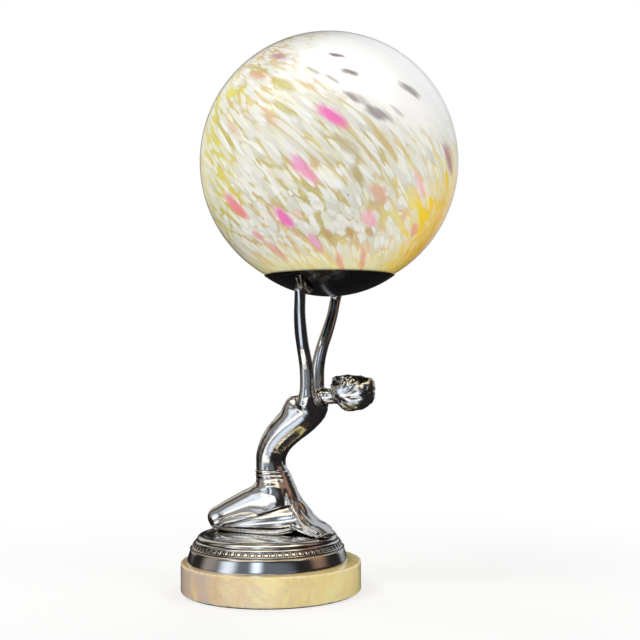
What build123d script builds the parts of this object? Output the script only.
from build123d import *
import math
import os

# A figural table lamp: a kneeling woman in plated cast metal leans back and holds up a black dish
# that carries a large glass globe. She kneels on a round stepped base over a stone slab.
# Millimetres, +Z up. The origin is on the felt's underside, below the metal base's axis. She faces
# -X, and her left side is towards -Y.

# ---- driving dimensions ----

fit_gap = 0.06          # radial gap between fixed round pieces
lift_gap = 0.3          # gap between pieces that move against each other

# felt and stone slab
felt_thickness = 1.0
felt_inset = 2.5
slab_radius = 70.25
slab_x = 3.2            # the stone sits a little behind the metal's axis
slab_height = 22.0
slab_edge = 0.8
slab_web = 6.0          # stone left above the nut's pocket
pocket_radius = 15.0

# cord inlet in the slab's side, towards +Y
inlet_height = 7.0
bush_radius = 4.5
bush_bore_radius = 3.0
bush_length = 12.0
bush_flange_radius = 5.6
bush_flange = 1.5

# clamp tube, its nut and washer
tube_radius = 5.0
tube_bore_radius = 4.0
tube_reach = 16.0       # how far the tube runs into the figure
nut_flats = 14.0
nut_height = 4.0
washer_radius = 12.0
washer_thickness = 1.6
thread_stand = 1.0      # thread that shows past a nut

# stepped metal base, heights above the slab
base_radius = 63.0
base_wall = 2.6
band_height = 9.8
band_top_radius = 59.8
bead_height = 1.2
bead_radius = 60.4
frieze_top_height = 16.6
frieze_top_radius = 56.0
torus_top_height = 20.6
torus_top_radius = 50.2
torus_bulge = 1.1
frieze_step = 0.3       # each step in the outline, inwards and upwards
torus_step = 1.2
torus_step_height = 0.4
ring_step = 0.2
dome_step = 0.3
ring_height = 0.7
ring_width = 2.4
dome_height = 25.0
frieze_blocks = 72
frieze_block_width = 2.6
frieze_block_rise = 0.45
frieze_block_share = 0.55   # of the slope's length

# gallery: the dish, and the plate inside it that the arms' ends and the lampholder bolt to
lamp_x = 54.5           # the lamp's axis, behind the base's axis
dish_height = 180.0     # the dish's lowest point above the ground that she kneels on
dish_depth = 16.1
dish_sphere_radius = 87.0
dish_wall = 0.8
plate_radius = 38.5
plate_thickness = 1.5

# glass globe
globe_radius = 99.5
globe_wall = 2.6
globe_neck_radius = 41.3

# joint of the head's neck on the body, its height above the ground
neck_x = 49.0
neck_height = 104.4
neck_lean = 70.0

# arms, from the shoulder to the stud that goes through the dish
hand_reach = 8.9        # the hands meet the dish this far in front of its axis
hand_y = 32.0
shoulder_radius = 5.3
upper_arm_radius = 4.9
elbow_radius = 4.6
forearm_radius = 4.4
wrist_radius = 4.0
hand_radius = 4.9
stud_radius = 3.8
stud_nut_flats = 11.0
stud_nut_height = 3.6
stud_washer_radius = 5.6
stud_washer_thickness = 0.8

# the lead inside, and the passage that is cored for it
lead_radius = 2.0
passage_radius = 2.6
lead_turn = 8.0         # bend below the clamp tube
lead_end_turn = 5.5     # bend into the lampholder
lead_arc_limit = 60.0
lead_rise = 6.0         # straight run above the clamp tube
lead_top_height = 14.5  # run into the lampholder, above the plate

# lampholder for an E27 screw cap
nipple_reach = 8.0
holder_radius = 19.0
holder_wall = 1.8
holder_cap_height = 24.0
holder_shell_height = 29.0
insert_height = 9.0
insert_sink = 4.5       # how far the insert sits down inside the cap
screw_shell_radius = 13.75
screw_shell_wall = 0.45
contact_height = 2.6
terminal_spacing = 15.0
terminal_radius = 2.4
terminal_height = 2.2
terminal_shank = 5.0
terminal_slot = (0.7, 1.0)  # width and twice the depth
tongue = (14.0, 5.0, 2.0)   # centre contact's strip: length, width, shift off the axis

# bulb
bulb_cap_radius = 13.0
bulb_cap_height = 24.0
bulb_cap_wall = 0.5
bulb_insulator_height = 2.6
bulb_contact_radius = 4.5
bulb_contact_height = 1.2
bulb_radius = 30.0
bulb_glass_height = 80.0
bulb_neck_radius = 12.3
bulb_wall = 0.9
stem_radius = 3.2
stem_height = 26.0
filament_wire = 0.5
filament_span = 11.0

# ---- heights and places worked out from them ----

slab_bottom = felt_thickness
slab_top = slab_bottom + slab_height
pocket_top = slab_top - slab_web
washer_bottom = pocket_top - washer_thickness
nut_bottom = washer_bottom - nut_height
tube_bottom = nut_bottom - thread_stand
dome_top = slab_top + dome_height
tube_top = dome_top + tube_reach
bush_outer_y = math.sqrt(slab_radius**2 - (slab_x + bush_flange_radius)**2)
bush_inner_y = bush_outer_y - bush_length

dish_bottom_z = dome_top + dish_height
dish_rim_z = dish_bottom_z + dish_depth
dish_centre_z = dish_bottom_z + dish_sphere_radius
dish_inner_radius = dish_sphere_radius - dish_wall
rim_drop = dish_centre_z - dish_rim_z
rim_inner_radius = math.sqrt(dish_inner_radius**2 - rim_drop**2)
plate_z = dish_centre_z - math.sqrt(dish_inner_radius**2 - plate_radius**2)
plate_top = plate_z + plate_thickness
stud_washer_top = plate_top + stud_washer_thickness
stud_top = stud_washer_top + stud_nut_height + thread_stand
globe_z = dish_rim_z + lift_gap + math.sqrt(globe_radius**2 - rim_inner_radius**2)
hand_x = lamp_x - hand_reach
hand_distance = math.hypot(hand_reach, hand_y)

holder_top = plate_top + holder_cap_height
shell_top = holder_top + holder_shell_height
insert_bottom = holder_top - insert_sink
insert_top = insert_bottom + insert_height
bulb_bottom = insert_top + contact_height + lift_gap
bulb_insulator_bottom = bulb_bottom + bulb_contact_height
bulb_cap_bottom = bulb_insulator_bottom + bulb_insulator_height
bulb_cap_top = bulb_cap_bottom + bulb_cap_height
bulb_top = bulb_cap_top + bulb_glass_height
lead_top_z = plate_top + lead_top_height


# ---- small helpers ----

def disc(radius, low, high, x=0.0, y=0.0):
    return Pos(x, y, (low + high) / 2) * Cylinder(radius, high - low)


def tube(radius, bore, low, high, x=0.0, y=0.0):
    return disc(radius, low, high, x, y) - disc(bore, low - 1, high + 1, x, y)


def hex_nut(flats, bore, low, height, x=0.0, y=0.0):
    body = extrude(RegularPolygon(flats / 2, 6, major_radius=False), height)
    body = chamfer(body.faces().sort_by(Axis.Z)[-1].edges(), height / 8)
    return Pos(x, y, low) * body - disc(bore, low - 1, low + height + 1, x, y)


def turned(points, x=0.0):
    # a solid of revolution from (radius, height) points, about the vertical axis at x
    profile = Plane.XZ * make_face(Polyline(*points, close=True))
    return Pos(x, 0, 0) * revolve(profile, Axis.Z)


def cap_of_sphere(radius, centre_z, low, high, x):
    # the part of a sphere between two heights
    return ball(x, 0, centre_z, radius) & disc(radius + 1, low, high, x)


def loft_limb(stations):
    # a tapering solid through ellipses: centre, lean of its direction from +Z towards +X in
    # degrees, half width across Y, half depth
    sections = []
    for centre, lean, half_width, half_depth in stations:
        angle = math.radians(lean)
        plane = Plane(origin=centre, x_dir=(0, 1, 0), z_dir=(math.sin(angle), 0, math.cos(angle)))
        sections.append(plane * Ellipse(half_width, half_depth))
    return loft(sections)


def ball(x, y, z, radius):
    return Pos(x, y, z) * Sphere(radius)


def smooth_path(points, limits):
    # straight runs joined by tangent arcs, each as large as its runs and its limit allow
    points = [Vector(*p) for p in points]
    radii = []
    for before, corner, after, limit in zip(points, points[1:], points[2:], limits):
        run_in = corner - before
        run_out = after - corner
        half_turn = math.radians(run_in.get_angle(run_out)) / 2
        room = 0.45 * min(run_in.length, run_out.length) / math.tan(half_turn)
        radii.append(min(limit, room))
    print("arc radii", [round(r, 1) for r in radii])
    return FilletPolyline(*points, radius=radii)


def tube_along(path, radius):
    return sweep(Plane(origin=path @ 0, z_dir=path % 0) * Circle(radius), path)


# ---- route of the lead: inlet, clamp tube, torso, right arm, lampholder ----

inward = Vector(lamp_x - hand_x, -hand_y, 0).normalized()
lead_end = Vector(hand_x, hand_y, lead_top_z) + inward * (hand_distance - terminal_spacing / 2)
arm_heights = [         # her right arm's middle line: X, Y and the height above the ground
    (39.0, 12.2, 97.0),
    (41.6, 12.6, 110.0),
    (41.6, 13.6, 126.0),
    (40.6, 15.8, 141.0),
    (41.8, 20.8, 153.0),
    (43.8, 27.0, 166.0),
    (hand_x, hand_y, dish_height + 1),
]
torso_heights = [
    (3.0, 2.0, 50.0),
    (9.0, 4.5, 68.0),
    (24.0, 8.5, 84.0),
]
arm_points = [(x, y, dome_top + height) for x, y, height in arm_heights]
torso_points = [(x, y, dome_top + height) for x, y, height in torso_heights]
lead_points = [
    (0, bush_inner_y - 1, inlet_height),
    (0, 0, inlet_height),
    (0, 0, tube_top + lead_rise),
    *torso_points,
    *arm_points,
    (hand_x, hand_y, lead_top_z),
    tuple(lead_end),
]
lead_limits = [lead_arc_limit] * (len(lead_points) - 2)
lead_limits[0] = lead_turn
lead_limits[-1] = lead_end_turn
lead_path = smooth_path(lead_points, lead_limits)
inner_lead = tube_along(lead_path, lead_radius)
passage = tube_along(lead_path, passage_radius)
print("lead length", round(lead_path.length, 1), "volume share",
      round(inner_lead.volume / (math.pi * lead_radius**2 * lead_path.length), 4))


# ---- felt, slab and clamp ----

def make_felt():
    return disc(slab_radius - felt_inset, 0, felt_thickness, slab_x)


def make_slab():
    slab = disc(slab_radius, slab_bottom, slab_top, slab_x)
    rims = slab.edges().filter_by(GeomType.CIRCLE)
    slab = fillet(rims, slab_edge)
    slab -= disc(tube_radius + fit_gap, slab_bottom - 1, slab_top + 1)
    slab -= disc(pocket_radius, slab_bottom - 1, pocket_top)
    channel = Pos(0, slab_radius / 2, inlet_height) * Rot(90, 0, 0)
    slab -= channel * Cylinder(bush_radius + fit_gap, slab_radius + 2)
    seat_y = bush_outer_y - bush_flange
    seat = Pos(0, seat_y + bush_flange, inlet_height) * Rot(90, 0, 0)
    return slab - seat * Cylinder(bush_flange_radius + fit_gap, 2 * bush_flange)


def make_bush():
    # built along +Z with its flange at the top, then laid along +Y
    barrel = disc(bush_radius, 0, bush_length)
    flange = disc(bush_flange_radius, bush_length - bush_flange, bush_length)
    bush = barrel + flange - disc(bush_bore_radius, -1, bush_length + 1)
    return Pos(0, bush_inner_y, inlet_height) * Rot(-90, 0, 0) * bush


def make_clamp_tube():
    return tube(tube_radius, tube_bore_radius, tube_bottom, tube_top)


def make_clamp_washer():
    return tube(washer_radius, tube_radius + fit_gap, washer_bottom, pocket_top)


def make_clamp_nut():
    return hex_nut(nut_flats, tube_radius + fit_gap, nut_bottom, nut_height)


# ---- metal base ----

def base_outline(rise):
    # outer half profile, lifted by rise where the figure sits on it
    band = (band_top_radius, slab_top + band_height)
    bead = (bead_radius, slab_top + band_height + bead_height / 2)
    frieze_low = (band_top_radius - frieze_step, slab_top + band_height + bead_height)
    frieze_high = (frieze_top_radius, slab_top + frieze_top_height)
    torus_low = (frieze_top_radius - torus_step, slab_top + frieze_top_height + torus_step_height)
    torus_high = (torus_top_radius, slab_top + torus_top_height)
    torus_mid = ((torus_low[0] + torus_high[0]) / 2 + torus_bulge,
                 (torus_low[1] + torus_high[1]) / 2 + torus_bulge)
    ring = (torus_high[0] - ring_step, torus_high[1] + ring_height)
    ring_inner = (ring[0] - ring_width, ring[1])
    dome_edge = (ring_inner[0] - dome_step, torus_high[1] + rise)
    dome_mid_z = dome_top + rise - (dome_top - torus_high[1]) / 4
    lines = Line((0, slab_top), (base_radius, slab_top))
    lines += Line((base_radius, slab_top), band)
    lines += ThreePointArc(band, bead, frieze_low)
    lines += Line(frieze_low, frieze_high)
    lines += Line(frieze_high, torus_low)
    lines += ThreePointArc(torus_low, torus_mid, torus_high)
    lines += Line(torus_high, ring)
    lines += Line(ring, ring_inner)
    lines += Line(ring_inner, dome_edge)
    lines += ThreePointArc(dome_edge, (dome_edge[0] / 2, dome_mid_z), (0, dome_top + rise))
    lines += Line((0, dome_top + rise), (0, slab_top))
    return revolve(Plane.XZ * make_face(lines), Axis.Z)


def make_base():
    shell = base_outline(0)
    hollow = turned([
        (0, slab_top - 1),
        (base_radius - base_wall, slab_top - 1),
        (band_top_radius - base_wall, slab_top + band_height),
        (torus_top_radius - base_wall, slab_top + torus_top_height - base_wall),
        (0, dome_top - 1.5 * base_wall),
    ])
    shell -= hollow
    shell -= disc(tube_radius + fit_gap, slab_top, dome_top + 1)
    # low blocks round the frieze
    low_r = band_top_radius - frieze_step
    low_z = slab_top + band_height + bead_height
    high_z = slab_top + frieze_top_height
    slope = math.degrees(math.atan2(low_r - frieze_top_radius, high_z - low_z))
    mid_r = (low_r + frieze_top_radius) / 2
    length = frieze_block_share * math.hypot(low_r - frieze_top_radius, high_z - low_z)
    block = Box(2 * frieze_block_rise, frieze_block_width, length)
    for index in range(frieze_blocks):
        turn = Rot(0, 0, 360 * index / frieze_blocks)
        shell += turn * Pos(mid_r, 0, (low_z + high_z) / 2) * Rot(0, -slope, 0) * block
    return shell


# ---- figure ----

def leg(side):
    # side is -1 for her left leg and +1 for her right
    thigh = loft_limb([
        ((10, side * 8.0, 28), -113, 11.0, 12.5),
        ((-12, side * 9.6, 19.6), -113, 10.6, 10.6),
        ((-30, side * 10.8, 11.9), -113, 9.4, 8.8),
        ((-38.6, side * 11.4, 8.2), -113, 8.2, 7.4),
    ])
    knee = ball(-37.6, side * 11.4, 7, 8.2)
    calf = loft_limb([
        ((-37, side * 11.4, 3.5), 88, 7.6, 5.6),
        ((-20, side * 12.6, 4.6), 86, 8.6, 6.8),
        ((-2, side * 12.0, 6.6), 84, 9.2, 8.6),
        ((14, side * 9.5, 8.2), 86, 8.6, 9.0),
        ((26, side * 7.0, 9), 92, 6.8, 7.0),
    ])
    heel = ball(25.5, side * 6.8, 10.5, 6.2)
    foot = loft_limb([
        ((25, side * 6.8, 8.5), 100, 6.4, 6.2),
        ((35, side * 6.8, 5.5), 105, 6.0, 4.8),
        ((44, side * 6.8, 2.6), 108, 5.0, 3.2),
    ])
    return [thigh, knee, calf, heel, foot]


def make_figure_body(arms):
    torso = loft_limb([
        ((8, 0, 14), 0, 17.0, 15.0),
        ((7.2, 0, 25), -4, 17.6, 15.4),
        ((6.2, 0, 33), -5, 16.8, 14.2),
        ((4.4, 0, 42), -4, 15.0, 12.0),
        ((3.4, 0, 50), 2, 14.2, 11.2),
        ((3.9, 0, 58), 14, 14.6, 11.4),
        ((8.8, 0, 68), 34, 16.0, 11.8),
        ((18.0, 0, 77.6), 46, 17.4, 12.8),
        ((29.5, 0, 87), 50, 18.0, 13.8),
        ((39.6, 0, 96), 50, 17.0, 12.4),
        ((45.4, 0, 102), 56, 12.5, 8.2),
        ((neck_x, 0, neck_height), neck_lean, 7.2, 5.6),
    ])
    lap = loft_limb([
        ((-38, 0, 6.5), 90, 12.0, 6.6),
        ((-18, 0, 11.5), 90, 15.0, 10.8),
        ((6, 0, 14), 90, 17.5, 14.5),
        ((27, 0, 12), 90, 13.5, 11.5),
    ])
    train = loft_limb([
        ((13.0, 0, 42), 150, 9.0, 3.6),
        ((18.0, 0, 30), 154, 10.5, 5.6),
        ((23.0, 0, 18), 150, 11.5, 6.4),
        ((31.0, 0, 8.5), 126, 12.5, 6.4),
        ((43.0, 0, 2.8), 110, 14.0, 4.4),
        ((51.5, 0, -0.6), 106, 14.5, 2.8),
    ])
    breasts = [ball(27.2, side * 7.8, 94, 8.0) for side in (-1, 1)]
    shoulders = [ball(41.0, side * 11.6, 101.6, 6.8) for side in (-1, 1)]
    body = torso + lap + train
    for piece in [*leg(-1), *leg(1), *breasts, *shoulders]:
        body += piece
    body = Pos(0, 0, dome_top) * body
    body -= base_outline(fit_gap)
    body -= disc(tube_radius + fit_gap, slab_top, tube_top + fit_gap)
    for arm in arms:
        body -= arm
    return body - passage


def make_head():
    # a neck spigot, then the head thrown back in its bob of hair, face up
    neck = loft_limb([
        ((neck_x + fit_gap, 0, neck_height), neck_lean, 5.6, 5.0),
        ((54.4, 0, 105.4), 80, 5.0, 4.7),
        ((64.0, 0, 106.4), 88, 5.8, 5.8),
    ])
    head = loft_limb([
        ((56.8, 0, 105.6), 90, 6.0, 6.6),
        ((58.6, 0, 105.8), 90, 9.2, 10.2),
        ((63.5, 0, 106.2), 90, 12.4, 13.4),
        ((72.0, 0, 106.6), 90, 13.8, 14.8),
        ((80.5, 0, 106.4), 90, 12.8, 13.8),
        ((86.8, 0, 106), 90, 9.6, 10.4),
        ((89.2, 0, 105.8), 90, 5.6, 6.2),
    ])
    return Pos(0, 0, dome_top) * (neck + head)


def arm_shape(side, extra):
    # side mirrors the arm; extra widens it, to cut its socket in the shoulder
    points = [(x, side * y, z) for x, y, z in arm_points]
    centre = smooth_path(points, [lead_arc_limit] * (len(points) - 2))
    widths = [
        (0.0, shoulder_radius - 1.2), (0.13, shoulder_radius), (0.3, upper_arm_radius),
        (0.5, elbow_radius), (0.64, forearm_radius), (0.86, wrist_radius), (1.0, hand_radius),
    ]
    sections = []
    for share, radius in widths:
        plane = Plane(origin=centre @ share, x_dir=(1, 0, 0), z_dir=centre % share)
        sections.append(plane * Circle(radius + extra))
    shape = loft(sections)
    top = centre @ 1
    hand = Plane(origin=top, x_dir=(1, 0, 0), z_dir=centre % 1) * Circle(hand_radius + extra)
    palm = Plane(origin=(hand_x, side * hand_y, dish_rim_z)) * Circle(hand_radius + extra)
    return shape + loft([hand, palm])


def make_arm(side):
    arm = arm_shape(side, 0) - ball(lamp_x, 0, dish_centre_z, dish_sphere_radius + fit_gap)
    stud = disc(stud_radius, dish_bottom_z, stud_top, hand_x, side * hand_y)
    return arm + stud


# ---- gallery ----

def make_dish():
    outer = cap_of_sphere(dish_sphere_radius, dish_centre_z, dish_bottom_z - 1, dish_rim_z, lamp_x)
    dish = outer - ball(lamp_x, 0, dish_centre_z, dish_inner_radius)
    for side in (-1, 1):
        dish -= disc(stud_radius + fit_gap, dish_bottom_z, dish_rim_z, hand_x, side * hand_y)
    return dish


def make_plate():
    plate = disc(plate_radius, plate_z, plate_top, lamp_x)
    plate -= Pos(lamp_x, 0, plate_top) * Cylinder(tube_radius + fit_gap, 4 * plate_thickness)
    for side in (-1, 1):
        plate -= disc(stud_radius + fit_gap, plate_z - 1, plate_top + 1, hand_x, side * hand_y)
    return plate


def make_stud_washer(side):
    y = side * hand_y
    return tube(stud_washer_radius, stud_radius + fit_gap, plate_top, stud_washer_top, hand_x, y)


def make_stud_nut(side):
    y = side * hand_y
    return hex_nut(stud_nut_flats, stud_radius + fit_gap, stud_washer_top, stud_nut_height, hand_x, y)


def make_globe():
    outer = ball(lamp_x, 0, globe_z, globe_radius)
    inner = ball(lamp_x, 0, globe_z, globe_radius - globe_wall)
    neck = disc(globe_neck_radius, globe_z - globe_radius - 1, globe_z - globe_radius / 2, lamp_x)
    return outer - inner - neck


# ---- lampholder ----

def make_nipple():
    low = plate_z - nut_height - thread_stand
    return tube(tube_radius, tube_bore_radius, low, plate_top + nipple_reach, lamp_x)


def make_locknut():
    return hex_nut(nut_flats, tube_radius + fit_gap, plate_z - nut_height, nut_height, lamp_x)


def make_holder_cap():
    cap = disc(holder_radius, plate_top, holder_top, lamp_x)
    cap = fillet(cap.edges().sort_by(Axis.Z)[0], 3 * holder_wall)
    cap -= disc(holder_radius - holder_wall, plate_top + 2 * holder_wall, holder_top + 1, lamp_x)
    cap -= disc(tube_radius + fit_gap, plate_top - 1, holder_top, lamp_x)
    return cap - passage


def make_insert():
    fit_radius = holder_radius - holder_wall - fit_gap
    insert = disc(fit_radius, insert_bottom, insert_top, lamp_x)
    slot = disc(screw_shell_radius + fit_gap, insert_top - contact_height, insert_top + 1, lamp_x)
    inner = disc(screw_shell_radius - screw_shell_wall - fit_gap, insert_bottom, insert_top + 1, lamp_x)
    insert -= slot - inner
    for side in (-1, 1):
        x = lamp_x + side * terminal_spacing / 2
        insert -= disc(terminal_radius / 2 + fit_gap, insert_bottom - 1,
                       insert_bottom + terminal_shank + 1, x)
    return insert


def make_holder_shell():
    shell = tube(holder_radius, holder_radius - holder_wall, holder_top, shell_top, lamp_x)
    rim = tube(holder_radius, screw_shell_radius + 2 * lift_gap, shell_top - holder_wall, shell_top, lamp_x)
    return shell + rim


def make_screw_shell():
    low = insert_top - contact_height + fit_gap
    high = shell_top - 2 * holder_wall
    return tube(screw_shell_radius, screw_shell_radius - screw_shell_wall, low, high, lamp_x)


def make_centre_contact():
    length, width, shift = tongue
    strip = Pos(lamp_x + shift, 0, insert_top + contact_height / 8)
    strip *= Box(length, width, contact_height / 4)
    bump = disc(bulb_contact_radius - 2, insert_top, insert_top + contact_height, lamp_x)
    return strip + bump


def make_terminal_screws():
    screws = []
    for side in (-1, 1):
        x = lamp_x + side * terminal_spacing / 2
        head = disc(terminal_radius, insert_bottom - terminal_height, insert_bottom, x)
        head -= Pos(x, 0, insert_bottom - terminal_height) * Box(2 * terminal_radius, *terminal_slot)
        shank = disc(terminal_radius / 2, insert_bottom - terminal_height / 2,
                     insert_bottom + terminal_shank, x)
        screws.append(head + shank)
    return Compound(children=screws)


# ---- bulb ----

def make_bulb_cap():
    cap = tube(bulb_cap_radius, bulb_cap_radius - bulb_cap_wall, bulb_cap_bottom, bulb_cap_top, lamp_x)
    floor = tube(bulb_cap_radius, bulb_contact_radius, bulb_cap_bottom,
                 bulb_cap_bottom + bulb_cap_wall, lamp_x)
    return cap + floor


def make_bulb_insulator():
    return turned([
        (0, bulb_insulator_bottom),
        (bulb_contact_radius + 1, bulb_insulator_bottom),
        (bulb_cap_radius - 3, bulb_cap_bottom),
        (0, bulb_cap_bottom),
    ], lamp_x)


def make_bulb_contact():
    return disc(bulb_contact_radius, bulb_bottom, bulb_insulator_bottom, lamp_x)


def bulb_outline(inset):
    # pear-shaped outline: round crown, then a curve down to the neck inside the cap
    radius = bulb_radius - inset
    neck = bulb_neck_radius - inset
    crown_z = bulb_top - bulb_radius
    low = bulb_cap_top - bulb_cap_height / 2 + inset
    waist = bulb_cap_top + 8
    start = math.radians(-28)
    side = (radius * math.cos(start), crown_z + radius * math.sin(start))
    lines = Line((0, low), (neck, low)) + Line((neck, low), (neck, waist))
    lines += Spline((neck, waist), side, tangents=((0.1, 1), (-math.sin(start), math.cos(start))))
    lines += ThreePointArc(side, (radius * math.cos(0.6), crown_z + radius * math.sin(0.6)),
                           (0, crown_z + radius))
    lines += Line((0, crown_z + radius), (0, low))
    return Pos(lamp_x, 0, 0) * revolve(Plane.XZ * make_face(lines), Axis.Z)


def make_bulb_stem():
    low = bulb_cap_top - bulb_cap_height / 2 + bulb_wall
    return disc(stem_radius, low, bulb_cap_top + stem_height, lamp_x)


def make_filament():
    # two legs out of the stem, and the wire bent in an arch between them
    low = bulb_cap_top + stem_height + filament_wire
    rise = filament_span
    points = [
        (lamp_x - stem_radius / 2, 0, low), (lamp_x - filament_span, 0, low + rise),
        (lamp_x - filament_span / 2, 0, low + 1.6 * rise),
        (lamp_x + filament_span / 2, 0, low + 1.6 * rise),
        (lamp_x + filament_span, 0, low + rise), (lamp_x + stem_radius / 2, 0, low),
    ]
    return tube_along(FilletPolyline(*points, radius=2.0), filament_wire)


# ---- build and write ----

sockets = [arm_shape(side, fit_gap) for side in (-1, 1)]
pieces = {
    "base_felt": make_felt(),
    "stone_slab": make_slab(),
    "inlet_bush": make_bush(),
    "clamp_tube": make_clamp_tube(),
    "clamp_washer": make_clamp_washer(),
    "clamp_nut": make_clamp_nut(),
    "metal_base": make_base(),
    "figure_body": make_figure_body(sockets),
    "figure_head": make_head(),
    "left_arm": make_arm(-1),
    "right_arm": make_arm(1) - passage,
    "gallery_dish": make_dish(),
    "gallery_plate": make_plate(),
    "left_stud_washer": make_stud_washer(-1),
    "right_stud_washer": make_stud_washer(1),
    "left_stud_nut": make_stud_nut(-1),
    "right_stud_nut": make_stud_nut(1),
    "holder_nipple": make_nipple(),
    "nipple_locknut": make_locknut(),
    "holder_cap": make_holder_cap(),
    "holder_insert": make_insert(),
    "holder_shell": make_holder_shell(),
    "screw_shell": make_screw_shell(),
    "centre_contact": make_centre_contact(),
    "terminal_screws": make_terminal_screws(),
    "inner_lead": inner_lead,
    "glass_globe": make_globe(),
    "bulb_cap": make_bulb_cap(),
    "bulb_insulator": make_bulb_insulator(),
    "bulb_contact": make_bulb_contact(),
    "bulb_glass": bulb_outline(0) - bulb_outline(bulb_wall),
    "bulb_stem": make_bulb_stem(),
    "bulb_filament": make_filament(),
}
os.makedirs("parts", exist_ok=True)
for name, solid in pieces.items():
    export_step(solid, f"parts/{name}.step")
    print(name, len(solid.solids()), round(solid.volume), solid.is_valid)
